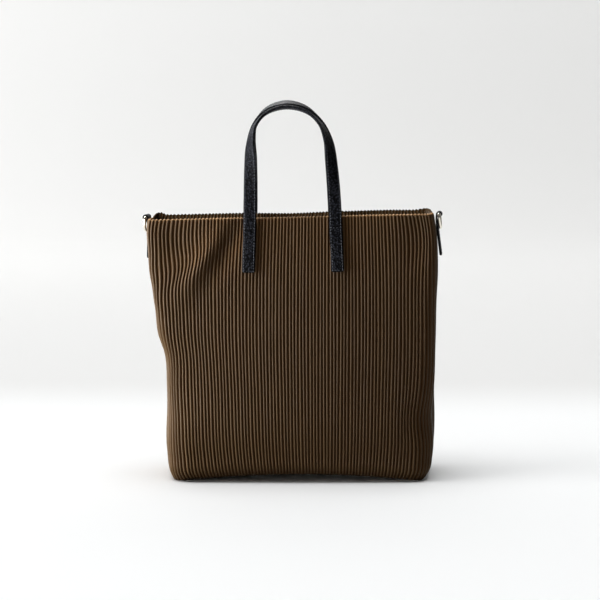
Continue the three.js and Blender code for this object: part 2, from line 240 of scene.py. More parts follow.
# Mask of the painted shade: from nothing at the ridges to full in the valleys, on both faces of the cloth.
sunk = add(tree, "ShaderNodeMapRange", {"Value": from_ridge, "From Min": 0.12, "From Max": 0.42}).outputs[0]
cloth_mm = add(tree, "ShaderNodeAttribute", attribute_name="cloth_mm").outputs["Vector"]
up = add(tree, "ShaderNodeSeparateXYZ", {"Vector": cloth_mm}).outputs["Y"]
below_rim = add(tree, "ShaderNodeMapRange", {
    "Value": up, "From Min": RIM_HEIGHT - 0.8, "From Max": RIM_HEIGHT - 2.6}).outputs[0]
painted_valley_shade = add(tree, "ShaderNodeMath", {0: sunk, 1: below_rim}, operation="MULTIPLY").outputs[0]
pleat_number = add(tree, "ShaderNodeMath", {0: pleat_place}, operation="FLOOR").outputs[0]
pleat_tone = add(tree, "ShaderNodeTexWhiteNoise", {"W": pleat_number}, noise_dimensions="1D").outputs["Value"]
place = add(tree, "ShaderNodeTexCoord").outputs["Object"]
patches = add(tree, "ShaderNodeTexNoise", {"Vector": place, "Scale": 1 / 0.05, "Detail": 3.0}).outputs["Fac"]
tone_sum = add(tree, "ShaderNodeMath", {0: pleat_tone, 1: patches}, operation="ADD").outputs[0]
tone = add(tree, "ShaderNodeMapRange", {"Value": tone_sum, "From Max": 2.0}).outputs[0]
ridge_colour = add(tree, "ShaderNodeMix", {"Factor": tone, 6: colour("#342719"), 7: colour("#3d2f1d")},
                   data_type="RGBA").outputs[2]
# Painted shade: the valleys take a redder brown, and the same mask takes away their gloss below.
base_colour = add(tree, "ShaderNodeMix", {"Factor": painted_valley_shade, 6: ridge_colour, 7: colour("#3a2715")},
                  data_type="RGBA").outputs[2]
relief = woven_relief(tree, cloth_mm, THREAD_MM, 0.25, 0.1 * MM)
shine = add(tree, "ShaderNodeMapRange", {"Value": painted_valley_shade, "To Min": 0.08, "To Max": 0.0}).outputs[0]
cloth = add(tree, "ShaderNodeBsdfPrincipled", {
    "Base Color": base_colour, "Roughness": 0.42, "Specular IOR Level": shine, "Normal": relief})
add(tree, "ShaderNodeOutputMaterial", {"Surface": cloth.outputs[0]})

# The tree lifts each point of a plain wall to its place on the pleat, rounded over the ridge and steep into
# the valley, then gives the cloth its thickness.
PLEAT_POWER = 2.2
pleat_tree = bpy.data.node_groups.new("pleats", "GeometryNodeTree")
for name in ("Geometry", "Pleat depth", "Ridge height", "Cloth thickness", "Cloth"):
    kind = {"Geometry": "NodeSocketGeometry", "Cloth": "NodeSocketMaterial"}.get(name, "NodeSocketFloat")
    pleat_tree.interface.new_socket(name, in_out="INPUT", socket_type=kind)
pleat_tree.interface.new_socket("Geometry", in_out="OUTPUT", socket_type="NodeSocketGeometry")
given = add(pleat_tree, "NodeGroupInput").outputs
pleat = add(pleat_tree, "GeometryNodeInputNamedAttribute", {"Name": "pleat"}, data_type="FLOAT").outputs[0]
opened = add(pleat_tree, "GeometryNodeInputNamedAttribute", {"Name": "opened"}, data_type="FLOAT").outputs[0]
outwards = add(pleat_tree, "GeometryNodeInputNamedAttribute", {"Name": "outwards"},
               data_type="FLOAT_VECTOR").outputs[0]
share = add(pleat_tree, "ShaderNodeMath", {0: pleat}, operation="FRACT").outputs[0]
centred = add(pleat_tree, "ShaderNodeMath", {0: share, 1: 2.0, 2: -1.0}, operation="MULTIPLY_ADD").outputs[0]
from_ridge = add(pleat_tree, "ShaderNodeMath", {0: centred}, operation="ABSOLUTE").outputs[0]
fall = add(pleat_tree, "ShaderNodeMath", {0: from_ridge, 1: PLEAT_POWER}, operation="POWER").outputs[0]
depth = add(pleat_tree, "ShaderNodeMath", {0: given["Pleat depth"], 1: opened},
            operation="MULTIPLY").outputs[0]
sunk = add(pleat_tree, "ShaderNodeMath", {0: fall, 1: depth}, operation="MULTIPLY").outputs[0]
outer_face = add(pleat_tree, "ShaderNodeMath", {0: given["Ridge height"], 1: sunk},
                 operation="SUBTRACT").outputs[0]
inner_face = add(pleat_tree, "ShaderNodeMath", {0: outer_face, 1: given["Cloth thickness"]},
                 operation="SUBTRACT").outputs[0]
offset = add(pleat_tree, "ShaderNodeVectorMath", {0: outwards, "Scale": inner_face},
             operation="SCALE").outputs[0]
inside = add(pleat_tree, "GeometryNodeSetPosition", {
    "Geometry": given["Geometry"], "Offset": offset}).outputs[0]
outside = add(pleat_tree, "GeometryNodeExtrudeMesh", {
    "Mesh": inside, "Offset": outwards, "Offset Scale": given["Cloth thickness"],
    "Individual": False}).outputs[0]
turned = add(pleat_tree, "GeometryNodeFlipFaces", {"Mesh": inside}).outputs[0]
turned = add(pleat_tree, "GeometryNodeStoreNamedAttribute", {
    "Geometry": turned, "Name": "inner_side", "Value": 1.0}, data_type="FLOAT", domain="FACE").outputs[0]
joined = add(pleat_tree, "GeometryNodeJoinGeometry")
pleat_tree.links.new(outside, joined.inputs[0])
pleat_tree.links.new(turned, joined.inputs[0])
closed = add(pleat_tree, "GeometryNodeMergeByDistance", {
    "Geometry": joined.outputs[0], "Distance": 0.01 * MM})
real = add(pleat_tree, "GeometryNodeRealizeInstances", {"Geometry": closed.outputs[0]}).outputs[0]
dressed = add(pleat_tree, "GeometryNodeSetMaterial", {
    "Geometry": real, "Material": given["Cloth"]}).outputs[0]
add(pleat_tree, "NodeGroupOutput", {"Geometry": dressed})

PLEAT_FLAT = 8.2  # cloth in one pleat, from valley to valley
RIM_ROWS = (298, 300.4, 301.8, 302.7, RIM_HEIGHT)  # closer together where the cloth turns in
STRAIGHT_ENDS = 3  # pleats over which the wander grows from a seam
SCALLOP_FROM = 285  # the rim's scallops grow from this height
PRESSED_AT = (0, 6, 299, 301.5, RIM_HEIGHT)
PRESSED = (0.55, 1, 1, 0.6, 0.3)  # share of the pleats' depth at these heights
for side, name in ((-1, "front_panel"), (1, "back_panel")):
    columns = PLEATS * COLUMNS_IN_A_PLEAT + 1
    heights = np.concatenate([np.linspace(0, 30, 8), np.linspace(38, 295, 31), RIM_ROWS])
    pleat = np.linspace(0, PLEATS, columns)[None, :]
    height = heights[:, None]
    ends = np.clip(np.minimum(pleat, PLEATS - pleat) / STRAIGHT_ENDS, 0, 1)
    wander = 0.05 * np.sin(2.1 * pleat + 0.013 * height) + 0.04 * np.sin(0.9 * pleat - 0.021 * height)
    place = pleat + ends * wander
    near_rim = np.clip((height - RIM_HEIGHT + RIM_ROLL) / RIM_ROLL, 0, 1)
    roll = RIM_ROLL * (1 - np.sqrt(1 - near_rim**2))
    wall = wall_point(side, place, height, -roll)
    outwards = wall_point(side, place, height, 1 - roll) - wall
    from_ridge = np.abs(2 * (pleat % 1) - 1)
    scalloped = np.clip((height - SCALLOP_FROM) / (RIM_HEIGHT - SCALLOP_FROM), 0, 1)
    wall[..., 2] -= RIM_SCALLOP * from_ridge**2 * scalloped
    outwards /= np.linalg.norm(outwards, axis=-1, keepdims=True)
    outwards[..., 2] = 0
    pressed = np.interp(heights, PRESSED_AT, PRESSED)[:, None]
    opened = pressed * (1 + 0.10 * np.sin(3.7 * pleat + 0.02 * height + side))
    cloth_mm = np.stack(np.broadcast_arrays(pleat * PLEAT_FLAT, height, 0), -1)
    grid = np.arange(wall[..., 0].size).reshape(len(heights), columns)
    faces = np.stack([grid[:-1, :-1], grid[:-1, 1:], grid[1:, 1:], grid[1:, :-1]], -1).reshape(-1, 4)
    faces = faces if side < 0 else faces[:, ::-1]
    panel = new_piece(name + "_cloth", wall, faces.tolist(), pleated_cloth)
    add_point_values(panel, "pleat", "FLOAT", np.broadcast_to(pleat, wall.shape[:2]))
    add_point_values(panel, "opened", "FLOAT", opened)
    add_point_values(panel, "outwards", "FLOAT_VECTOR", outwards)
    add_point_values(panel, "cloth_mm", "FLOAT_VECTOR", cloth_mm)
    apply_tree(panel, pleat_tree, {
        "Pleat depth": PLEAT_DEPTH * MM, "Ridge height": RIDGE_OUT * MM, "Cloth thickness": CLOTH_THICK * MM,
        "Cloth": pleated_cloth})
    panel.data.shade_smooth()
    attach(panel, "bag")
    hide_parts(name)


# Base
# A flat piece of the same polyester, two layers sewn together, that closes the bottom between the two panels
# and follows the arch of their lower edges.

BASE_THICK = 2
BASE_INSET = 1.3
BASE_ROUND = 0.7
base_cloth, tree = new_material("woven polyester")
place = add(tree, "ShaderNodeTexCoord").outputs["Object"]
patches = add(tree, "ShaderNodeTexNoise", {"Vector": place, "Scale": 1 / 0.03, "Detail": 4.0}).outputs["Fac"]
base_colour = add(tree, "ShaderNodeMix", {"Factor": patches, 6: colour("#342719"), 7: colour("#3d2f1d")},
                  data_type="RGBA").outputs[2]
relief = woven_relief(tree, place, THREAD_MM * MM, 0.5, 0.2 * MM)
cloth = add(tree, "ShaderNodeBsdfPrincipled", {
    "Base Color": base_colour, "Roughness": 0.8, "Specular IOR Level": 0.3, "Normal": relief})
add(tree, "ShaderNodeOutputMaterial", {"Surface": cloth.outputs[0]})

edge = wall_point(1, np.linspace(0, PLEATS, 97)[1:-1], 0.0, -BASE_INSET)
rows = []
for x, y, up in edge:
    top = up + BASE_THICK
    near = y - BASE_ROUND
    rows.append([
        (x, -y, up + BASE_ROUND), (x, -near, up), (x, -y / 2, up), (x, 0, up), (x, y / 2, up), (x, near, up),
        (x, y, up + BASE_ROUND), (x, y, top - BASE_ROUND), (x, near, top), (x, y / 2, top), (x, 0, top),
        (x, -y / 2, top), (x, -near, top), (x, -y, top - BASE_ROUND)])


def loft(rows, closed=False):
    """Points and faces of a solid through rows of sections, with flat ends or closed on itself."""
    rows = np.asarray(rows, float)
    count, around = rows.shape[:2]
    grid = np.arange(count * around).reshape(count, around)
    grid = np.concatenate([grid, grid[:, :1]], 1)
    grid = np.concatenate([grid, grid[:1]]) if closed else grid
    faces = np.stack([grid[:-1, :-1], grid[:-1, 1:], grid[1:, 1:], grid[1:, :-1]], -1).reshape(-1, 4).tolist()
    if not closed:
        faces += [grid[0, -2::-1].tolist(), grid[-1, :-1].tolist()]
    return rows.reshape(-1, 3), faces


def face_outwards(piece):
    """Turns a closed mesh's faces outwards."""
    mesh = piece.data
    mesh.calc_loop_triangles()
    points = np.array([v.co for v in mesh.vertices])
    corners = points[np.array([t.vertices[:] for t in mesh.loop_triangles])]
    if np.einsum("ij,ij->", corners[:, 0], np.cross(corners[:, 1], corners[:, 2])) < 0:
        mesh.flip_normals()
    return piece


base = face_outwards(new_piece("base_cloth", *loft(rows), base_cloth))
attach(base, "bag")
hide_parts("base_panel")


# Side seams
# The panels' edges are turned in where they are sewn together, and lie pressed flat behind each seam as a
# narrow strip of cloth.

TURNED_IN = 8
TURNED_THICK = 0.8
TURNED_DEEP = 4.6  # from the panels' wall to the strip
TURNED_FROM = 5
TURNED_TO = RIM_HEIGHT - 2
for seam, word in ((0, "left"), (PLEATS, "right")):
    rows = []
    half = TURNED_IN / 2
    for height in np.linspace(TURNED_FROM, TURNED_TO, 60):
        near_x, _, near_z = wall_point(1, seam, height, -TURNED_DEEP)
        far_x, _, far_z = wall_point(1, seam, height, -TURNED_DEEP - TURNED_THICK)
        rows.append([
            (near_x, -half, near_z), (near_x, half, near_z), (far_x, half, far_z), (far_x, -half, far_z)])
    strip = face_outwards(new_piece(f"{word}_seam_cloth", *loft(rows), base_cloth))
    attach(strip, "bag")


# Handles
# Two straps of black pebbled leather, each of two layers glued and sewn along both edges. Their ends lie on
# the panels and are sewn down, and the free part stands up in an arch whose face turns outwards.

STRAP_WIDTH = 14.6
STRAP_THICK = 3.4
STRAP_GAP = 0.5
STRAP_CORNER = 2.6
STRAP_STEP = 2.5
STRAP_CROWN = 0.2
EDGE_RADIUS = 0.9
EDGE_LINE = 0.18  # depth of the line between the two layers
GROOVE_DEEP = 0.16
GROOVE_WIDE = 0.55
STITCH_INSET = 1.7
STITCHED_STEP = 1.6
RIDGE_MARGIN = 3  # ridges this far beside a strap carry it too
ROWS_ABOVE_RIM = 8  # the inner face shows its stitches from here up
FRONT_TOP_Y = 15
BACK_TOP_Y = 2
BACK_RISE = 4.7
SEWN_TOP = 290
HANDLE_PATH = np.array([
    # x, height, lean towards the arch's top, turn of the face in degrees
    (-49.6, 240.5, 0, 0),
    (-48.8, 270, 0, 0),
    (-48.3, 288, 0, 0),
    (-48, 308, 0, 0),
    (-47.8, 336, 0.24, 6),
    (-47.8, 364, 0.48, 24),
    (-47.4, 385, 0.66, 54),
    (-42.5, 405, 0.83, 78),
    (-29, 420, 0.95, 86),
    (-7, 426.5, 1, 90),
    (15.5, 421.5, 0.96, 86),
    (32.5, 407, 0.84, 76),
    (41.5, 386, 0.66, 50),
    (45, 363, 0.48, 22),
    (47.4, 336, 0.24, 6),
    (49, 308, 0, 0),
    (49.6, 288, 0, 0),
    (50.4, 270, 0, 0),
    (51.8, 241.5, 0, 0),
])


def smooth_path(points, shares):
    """Points at shares of the way along a centripetal curve through the given points."""
    points = np.asarray(points, float)
    points = np.vstack([2 * points[0] - points[1], points, 2 * points[-1] - points[-2]])
    at = np.clip(np.asarray(shares) * (len(points) - 3), 0, len(points) - 3 - 1e-9)
    k = at.astype(int)
    t = (at - k)[:, None]
    a, b, c, d = (points[k + n] for n in range(4))
    steps = ((a, b), (b, c), (c, d))
    first, middle, last = (np.sqrt(np.linalg.norm(q - p, axis=1))[:, None] for p, q in steps)
    middle = np.where(middle < 1e-4, 1, middle)
    first = np.where(first < 1e-4, middle, first)
    last = np.where(last < 1e-4, middle, last)
    leave = middle * ((b - a) / first - (c - a) / (first + middle)) + c - b
    reach = middle * ((d - c) / last - (d - b) / (middle + last)) + c - b
    bend = 3 * (c - b) - 2 * leave - reach
    return b + t * (leave + t * (bend + t * (2 * (b - c) + leave + reach)))


def ridge_behind(side, x, height):
    """How far the pleats behind a strap stand from the middle of the bag."""
    ridges = wall_point(side, np.linspace(0, PLEATS, 4 * PLEATS), min(height, RIM_HEIGHT), RIDGE_OUT)
    behind = np.abs(ridges[:, 0] - x) < STRAP_WIDTH / 2 + RIDGE_MARGIN
    return np.abs(ridges[behind, 1]).max()


def unit(vectors):
    return vectors / np.linalg.norm(vectors, axis=-1, keepdims=True)


def strap_course(side, top_y, rise):
    """Stations along a handle: length so far, middle line, direction across and direction out of its face."""
    x, height, lean, turn = HANDLE_PATH.T
    ridges = np.array([ridge_behind(side, *row) for row in HANDLE_PATH[:, :2]])
    on_panel = ridges + STRAP_GAP + STRAP_THICK / 2
    middle = np.stack([x, side * (on_panel + (top_y - on_panel) * lean), height + rise * lean], -1)
    shares = np.linspace(0, 1, 1600)
    line = smooth_path(middle, shares)
    turn, lean, _ = smooth_path(np.stack([turn, lean, 0 * lean], -1), shares).T
    slope = (ridge_behind(side, x[3], RIM_HEIGHT) - top_y) / (height.max() - RIM_HEIGHT)
    along = unit(np.gradient(line, axis=0))
    flat = np.stack([0 * lean, 0 * lean + side, slope * lean], -1)
    flat = unit(flat - along * np.sum(flat * along, -1, keepdims=True))
    outer = unit(np.cross(along, flat)) * side
    turn = np.radians(turn)[:, None]
    face = flat * np.cos(turn) + outer * np.sin(turn)
    across = unit(np.cross(along, face))
    length = np.concatenate([[0], np.cumsum(np.linalg.norm(np.diff(line, axis=0), axis=1))])
    return length, line, across, face


def at_lengths(course, lengths):
    """A strap's middle line and directions at the given lengths."""
    known, *columns = course
    return [np.stack([np.interp(lengths, known, c[:, k]) for k in range(3)], -1) for c in columns]


def strap_section(half, thick):
    """Outline of a sewn strap: crowned faces, a groove under each row of stitches and round painted edges."""
    stitch_at = half - STITCH_INSET
    across = np.linspace(-1, 1, 19) * (half - EDGE_RADIUS)
    groove = GROOVE_DEEP * np.exp(-(((np.abs(across) - stitch_at) / GROOVE_WIDE) ** 2))
    up = thick / 2 - STRAP_CROWN * (across / half) ** 2 - groove
    edge_turn = np.radians((65, 35, 12))
    edge_across = half - EDGE_RADIUS + EDGE_RADIUS * np.cos(edge_turn)
    edge_up = up[-1] - EDGE_RADIUS + EDGE_RADIUS * np.sin(edge_turn)
    right = np.stack([edge_across, edge_up], -1)
    seam = [(half - EDGE_LINE, 0)]
    upper = np.concatenate([np.stack([across, up], -1), right, seam])
    return np.concatenate([upper, -upper])


# Pebbled cowhide, dyed through and lightly waxed. Its round grains are about 2 mm wide; their crowns are
# painted lighter and the gaps between them darker, a painted highlight and painted shade for the specks of
# light they catch.
GRAIN_MM = 2.1
FINE_MM = 0.5
black_leather, tree = new_material("pebbled black leather")
place = add(tree, "ShaderNodeTexCoord").outputs["Object"]
warp = add(tree, "ShaderNodeTexNoise", {"Vector": place, "Scale": 1 / (3 * GRAIN_MM * MM)}).outputs["Color"]
shift = add(tree, "ShaderNodeVectorMath", {0: warp, "Scale": 1.2 * GRAIN_MM * MM},
            operation="SCALE").outputs[0]
moved = add(tree, "ShaderNodeVectorMath", {0: shift, 1: place}, operation="ADD").outputs[0]
grain = add(tree, "ShaderNodeTexVoronoi", {"Vector": moved, "Scale": 1 / (GRAIN_MM * MM)},
            feature="F1").outputs["Distance"]
fine = add(tree, "ShaderNodeTexNoise", {
    "Vector": place, "Scale": 1 / (FINE_MM * MM), "Detail": 3.0}).outputs["Fac"]
crown = add(tree, "ShaderNodeMath", {0: fine, 1: 0.3, 2: grain}, operation="MULTIPLY_ADD").outputs[0]
relief = add(tree, "ShaderNodeBump", {"Height": crown, "Strength": 1.0, "Distance": 0.9 * MM},
             invert=True).outputs[0]
# Painted highlight and painted shade: lighter on each grain's crown, near black between the grains.
painted_grain_light = add(tree, "ShaderNodeMapRange", {"Value": grain, "From Min": 0.15, "From Max": 0.55}).outputs[0]
leather_colour = add(tree, "ShaderNodeMix", {"Factor": painted_grain_light, 6: colour("#24252b"), 7: colour("#010102")},
                     data_type="RGBA").outputs[2]
gloss = add(tree, "ShaderNodeMapRange", {"Value": fine, "To Min": 0.36, "To Max": 0.62}).outputs[0]
leather = add(tree, "ShaderNodeBsdfPrincipled", {
    "Base Color": leather_colour, "Roughness": gloss, "Specular IOR Level": 0.05, "Normal": relief})
add(tree, "ShaderNodeOutputMaterial", {"Surface": leather.outputs[0]})

# Bonded polyester sewing thread, a little lighter than the leather and slightly shiny.
PLY_MM = 0.5
thread, tree = new_material("bonded sewing thread")
place = add(tree, "ShaderNodeTexCoord").outputs["Object"]
ply = add(tree, "ShaderNodeTexNoise", {"Vector": place, "Scale": 1 / (PLY_MM * MM)}).outputs["Fac"]
thread_colour = add(tree, "ShaderNodeMix", {"Factor": ply, 6: colour("#26272b"), 7: colour("#3c3d42")},
                    data_type="RGBA").outputs[2]
strand = add(tree, "ShaderNodeBsdfPrincipled", {"Base Color": thread_colour, "Roughness": 0.45})
add(tree, "ShaderNodeOutputMaterial", {"Surface": strand.outputs[0]})

# The tree lays one stitch after another along each line of sewing.
stitch_tree = bpy.data.node_groups.new("stitches", "GeometryNodeTree")
for name in ("Geometry", "Stitch pitch", "Stitch length", "Thread width", "Seed", "Thread"):
    kind = {"Geometry": "NodeSocketGeometry", "Thread": "NodeSocketMaterial", "Seed": "NodeSocketInt"}
    stitch_tree.interface.new_socket(name, in_out="INPUT", socket_type=kind.get(name, "NodeSocketFloat"))
stitch_tree.interface.new_socket("Geometry", in_out="OUTPUT", socket_type="NodeSocketGeometry")
given = add(stitch_tree, "NodeGroupInput").outputs
lines = add(stitch_tree, "GeometryNodeMeshToCurve", {"Mesh": given["Geometry"]}).outputs[0]
holes = add(stitch_tree, "GeometryNodeResampleCurve", {
    "Curve": lines, "Length": given["Stitch pitch"]}, mode="LENGTH")
bead = add(stitch_tree, "GeometryNodeMeshUVSphere", {"Segments": 6, "Rings": 5, "Radius": 0.5}).outputs[0]
sizes = add(stitch_tree, "ShaderNodeCombineXYZ", {
    "X": given["Thread width"], "Y": given["Thread width"], "Z": given["Stitch length"]}).outputs[0]
course = add(stitch_tree, "GeometryNodeInputTangent").outputs[0]
sway = add(stitch_tree, "FunctionNodeRandomValue", {
    "Seed": given["Seed"], 0: (-0.1, -0.1, -0.1), 1: (0.1, 0.1, 0.1)}, data_type="FLOAT_VECTOR").outputs[0]
lean = add(stitch_tree, "ShaderNodeVectorMath", {0: course, 1: sway}, operation="ADD").outputs[0]
turn = add(stitch_tree, "FunctionNodeAlignRotationToVector", {"Vector": lean}, axis="Z").outputs[0]
sewn = add(stitch_tree, "GeometryNodeInstanceOnPoints", {
    "Points": holes.outputs[0], "Instance": bead, "Rotation": turn, "Scale": sizes}).outputs[0]
real = add(stitch_tree, "GeometryNodeRealizeInstances", {"Geometry": sewn}).outputs[0]
dressed = add(stitch_tree, "GeometryNodeSetMaterial", {
    "Geometry": real, "Material": given["Thread"]}).outputs[0]
add(stitch_tree, "NodeGroupOutput", {"Geometry": dressed})

STITCH = {
    "Stitch pitch": 3.2 * MM, "Stitch length": 2.5 * MM, "Thread width": 0.6 * MM, "Seed": 4,
    "Thread": thread}


def sew(name, lines, body):
    """Stitches along lines of points in millimetres."""
    edges = []
    for line in lines:
        start = edges[-1][1] + 1 if edges else 0
        edges += [(start + k, start + k + 1) for k in range(len(line) - 1)]
    piece = new_piece(name, np.concatenate(lines), [], thread, edges)
    apply_tree(piece, stitch_tree, STITCH)
    piece.data.shade_smooth()
    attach(piece, body)
    return piece


for side, top_y, rise, word in ((-1, FRONT_TOP_Y, 0, "front"), (1, BACK_TOP_Y, BACK_RISE, "back")):
    course = strap_course(side, top_y, rise)
    total = course[0][-1]
    rounding = np.array((0, 0.12, 0.45, 0.95, 1.6, STRAP_CORNER))
    free = np.arange(2 * STRAP_CORNER, total - 2 * STRAP_CORNER, STRAP_STEP)
    lengths = np.concatenate([rounding, free, total - rounding[::-1]])
    to_end = np.minimum(lengths, total - lengths)
    corner = np.clip(STRAP_CORNER - to_end, 0, STRAP_CORNER)
    inset = STRAP_CORNER - np.sqrt(STRAP_CORNER**2 - corner**2)
    thin = STRAP_THICK * np.interp(to_end, (0, 0.5, 1.6), (0.72, 0.94, 1))
    rows = []
    for at, across, face, taken, thick in zip(*at_lengths(course, lengths), inset, thin):
        outline = strap_section(STRAP_WIDTH / 2, thick)
        outline[:, 0] *= 1 - taken / (STRAP_WIDTH / 2)
        rows.append(at + outline[:, :1] * across + outline[:, 1:] * face)
    strap = face_outwards(new_piece(f"{word}_handle_strap", *loft(rows), black_leather))
    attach(strap, "bag")
    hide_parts(f"handle_{word}")

    stitched = np.arange(STITCH_INSET, total - STITCH_INSET + 0.1, STITCHED_STEP)
    at, across, face = at_lengths(course, stitched)
    reach = STRAP_WIDTH / 2 - STITCH_INSET
    lift = STRAP_THICK / 2 - STRAP_CROWN
    lines = [at + hand * reach * across + lift * face for hand in (-1, 1)]
    above = at[:, 2] > RIM_HEIGHT + ROWS_ABOVE_RIM
    lines += [(at + hand * reach * across - lift * face)[above] for hand in (-1, 1)]
    rising = at[:, 2].argmax()
    on_panel = np.interp(SEWN_TOP, at[:rising, 2], stitched[:rising])
    for length in (STITCH_INSET, total - STITCH_INSET, on_panel, total - on_panel):
        at, across, face = (v[0] for v in at_lengths(course, [length]))
        cross = np.linspace(-1, 1, 9)[:, None] * reach
        lines.append(at + cross * across + lift * face)
    sew(f"{word}_handle_stitches", lines, "bag")


# Side tabs and rings
# A short strip of the same leather is folded round the straight bar of each ring and sewn down beside the
# side seam, behind it on the left and in front of it on the right. The rings are bent from polished metal
# wire, their ends butted in the bar.

TAB_WIDTH = 14
TAB_LENGTH = 47
TAB_CORNER = 2
TAB_EDGE = 0.45
TAB_BEVEL = 0.13
TAB_SEWN_TOP = -14  # up from the bar
TAB_SEWN_FOOT = 2.2 - TAB_LENGTH
LAYER = 1.2
LOOP_RADIUS = 2.8
INNER_LAYER = -4.4
OUTER_LAYER = INNER_LAYER + LAYER
WIRE = 1.6
RING_WIDTH = 19
RING_DROP = 15.5
RING_CORNER = 3
BAR_END = 2  # straight stretch of the bar beside each corner
TABS = [
    # word, slant of the lower end outwards and hang of the ring away from the tab, in degrees
    ("left", 1.5, 1),
    ("right", 7.5, -1.5),
]

# Polished pale metal: bright mirror highlights softened by fine hairline scratches.
SCRATCH_MM = 0.4
ring_metal, tree = new_material("polished pale metal")
place = add(tree, "ShaderNodeTexCoord").outputs["Object"]
stretched = add(tree, "ShaderNodeMapping", {"Vector": place, "Scale": (1, 1, 0.15)}).outputs[0]
scratches = add(tree, "ShaderNodeTexNoise", {
    "Vector": stretched, "Scale": 1 / (SCRATCH_MM * MM), "Detail": 4.0}).outputs["Fac"]
gloss = add(tree, "ShaderNodeMapRange", {"Value": scratches, "To Min": 0.1, "To Max": 0.3}).outputs[0]
metal_colour = add(tree, "ShaderNodeMix", {"Factor": scratches, 6: colour("#e4dccb"), 7: colour("#f2ecdf")},
                   data_type="RGBA").outputs[2]
polish = add(tree, "ShaderNodeBsdfPrincipled", {
    "Base Color": metal_colour, "Metallic": 1.0, "Roughness": gloss})
add(tree, "ShaderNodeOutputMaterial", {"Surface": polish.outputs[0]})


def arc(centre, radius, start, end, count):
    """Points of a circle's or ellipse's arc, in degrees."""
    turn = np.radians(np.linspace(start, end, count))
    return np.asarray(centre) + np.stack([np.cos(turn), np.sin(turn)], -1) * radius


for word, slant, hang in TABS:
    joint = next(j for j in frame["joints"] if j["name"] == f"ring_{word}_swing")
    bar = np.array(joint["pos_m"]) / MM
    along_bar = -np.array(joint["axis"])
    outward = np.cross(along_bar, (0, 0, 1))

    def turned(degrees):
        """Axes of the tab or the ring, with its lower end turned outwards."""
        turn = math.radians(degrees)
        up = math.cos(turn) * np.array((0, 0, 1)) - math.sin(turn) * outward
        return np.array([np.cross(along_bar, up), along_bar, up])

    # The strip's way, out from the bar and up: the inner layer, the loop round the bar and the outer layer
    axes = turned(slant)
    loop = arc((0, 0), LOOP_RADIUS, 175, -95, 19)
    start = [(INNER_LAYER, -TAB_LENGTH), (INNER_LAYER, -30), (INNER_LAYER, -13), (-3.9, -5)]
    end = [(-1.7, -5), (-3, -10), (OUTER_LAYER, -15), (OUTER_LAYER, -30), (OUTER_LAYER, -TAB_LENGTH)]
    course = np.concatenate([start, loop, end])
    course = smooth_path(np.insert(course, 1, 0, axis=1), np.linspace(0, 1, 150))
    along = unit(np.gradient(course, axis=0))
    face = np.cross(along, (0, 1, 0))
    cut = np.clip(TAB_CORNER - course[:, 2] - TAB_LENGTH, 0, TAB_CORNER)
    half = TAB_WIDTH / 2 - (TAB_CORNER - np.sqrt(TAB_CORNER**2 - cut**2))
    rows = []
    for at, normal, reach in zip(course, face, half):
        flat = np.linspace(-1, 1, 9) * (reach - TAB_EDGE)
        edge = [(reach - TAB_BEVEL, LAYER / 2 - TAB_BEVEL), (reach, 0.1)]
        upper = [*zip(flat, np.full(9, LAYER / 2)), *edge]
        outline = np.concatenate([upper, -np.array(upper)])
        rows.append(at + outline[:, :1] * np.array((0, 1, 0)) + outline[:, 1:] * normal)
    points, faces = loft(rows)
    tab = face_outwards(new_piece(f"{word}_tab_strip", points @ axes + bar, faces, black_leather))
    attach(tab, "bag")
    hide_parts(f"side_tab_{word}")

    edge = TAB_WIDTH / 2 - STITCH_INSET
    lift = OUTER_LAYER + LAYER / 2
    corners = [
        (lift, -edge, TAB_SEWN_TOP), (lift, -edge, TAB_SEWN_FOOT),
        (lift, edge, TAB_SEWN_FOOT), (lift, edge, TAB_SEWN_TOP)]
    lines = [np.linspace(a, b, 24) @ axes + bar for a, b in zip(corners, corners[1:] + corners[:1])]
    sew(f"{word}_tab_stitches", lines, "bag")

    wide = RING_WIDTH / 2
    outline = np.concatenate([
        [(0, 0)], [(wide - RING_CORNER - BAR_END, 0)],
        arc((wide - RING_CORNER, -RING_CORNER), RING_CORNER, 90, 0, 8),
        arc((0, -RING_CORNER), (wide, RING_DROP - RING_CORNER), -6, -174, 40),
        arc((RING_CORNER - wide, -RING_CORNER), RING_CORNER, 180, 90, 8),
        [(BAR_END + RING_CORNER - wide, 0)],
    ])
    course = np.insert(outline, 0, 0, axis=1)
    along = unit(np.roll(course, -1, axis=0) - np.roll(course, 1, axis=0))
    sideways = np.cross(along, (1, 0, 0))
    turns = np.radians(np.arange(0, 360, 24))[:, None]
    forwards = np.sin(turns) * (1, 0, 0)
    rows = [at + WIRE * (forwards + np.cos(turns) * aside) for at, aside in zip(course, sideways)]
    points, faces = loft(rows, closed=True)
    ring = face_outwards(new_piece(f"{word}_ring", points @ turned(slant + hang) + bar, faces, ring_metal))
    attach(ring, f"ring_{word}")
    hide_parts(f"d_ring_{word}")


# Floor, light and camera
# A sheet of white paper lies under the bag and sweeps up far behind it, lit by lamps of its own. The bag is
# lit by a window close to its left side, and each panel and the straps and rings have softer lamps besides.

PAPER_REACH = 60  # metres, as the four sizes below
SWEEP_START = 3.2
SWEEP_RADIUS = 1.5
PAPER_TOP = 6
# Behind the bag the paper's colour turns greyer: painted shade, standing in for a wall that is less lit than
# the floor.
PAINTED_SHADE_SPAN = (0.35, 0.72)  # behind the bag, where the paper turns greyer

floor_paper, tree = new_material("matt white paper")
place = add(tree, "ShaderNodeTexCoord").outputs["Object"]
far = add(tree, "ShaderNodeSeparateXYZ", {"Vector": place}).outputs["Y"]
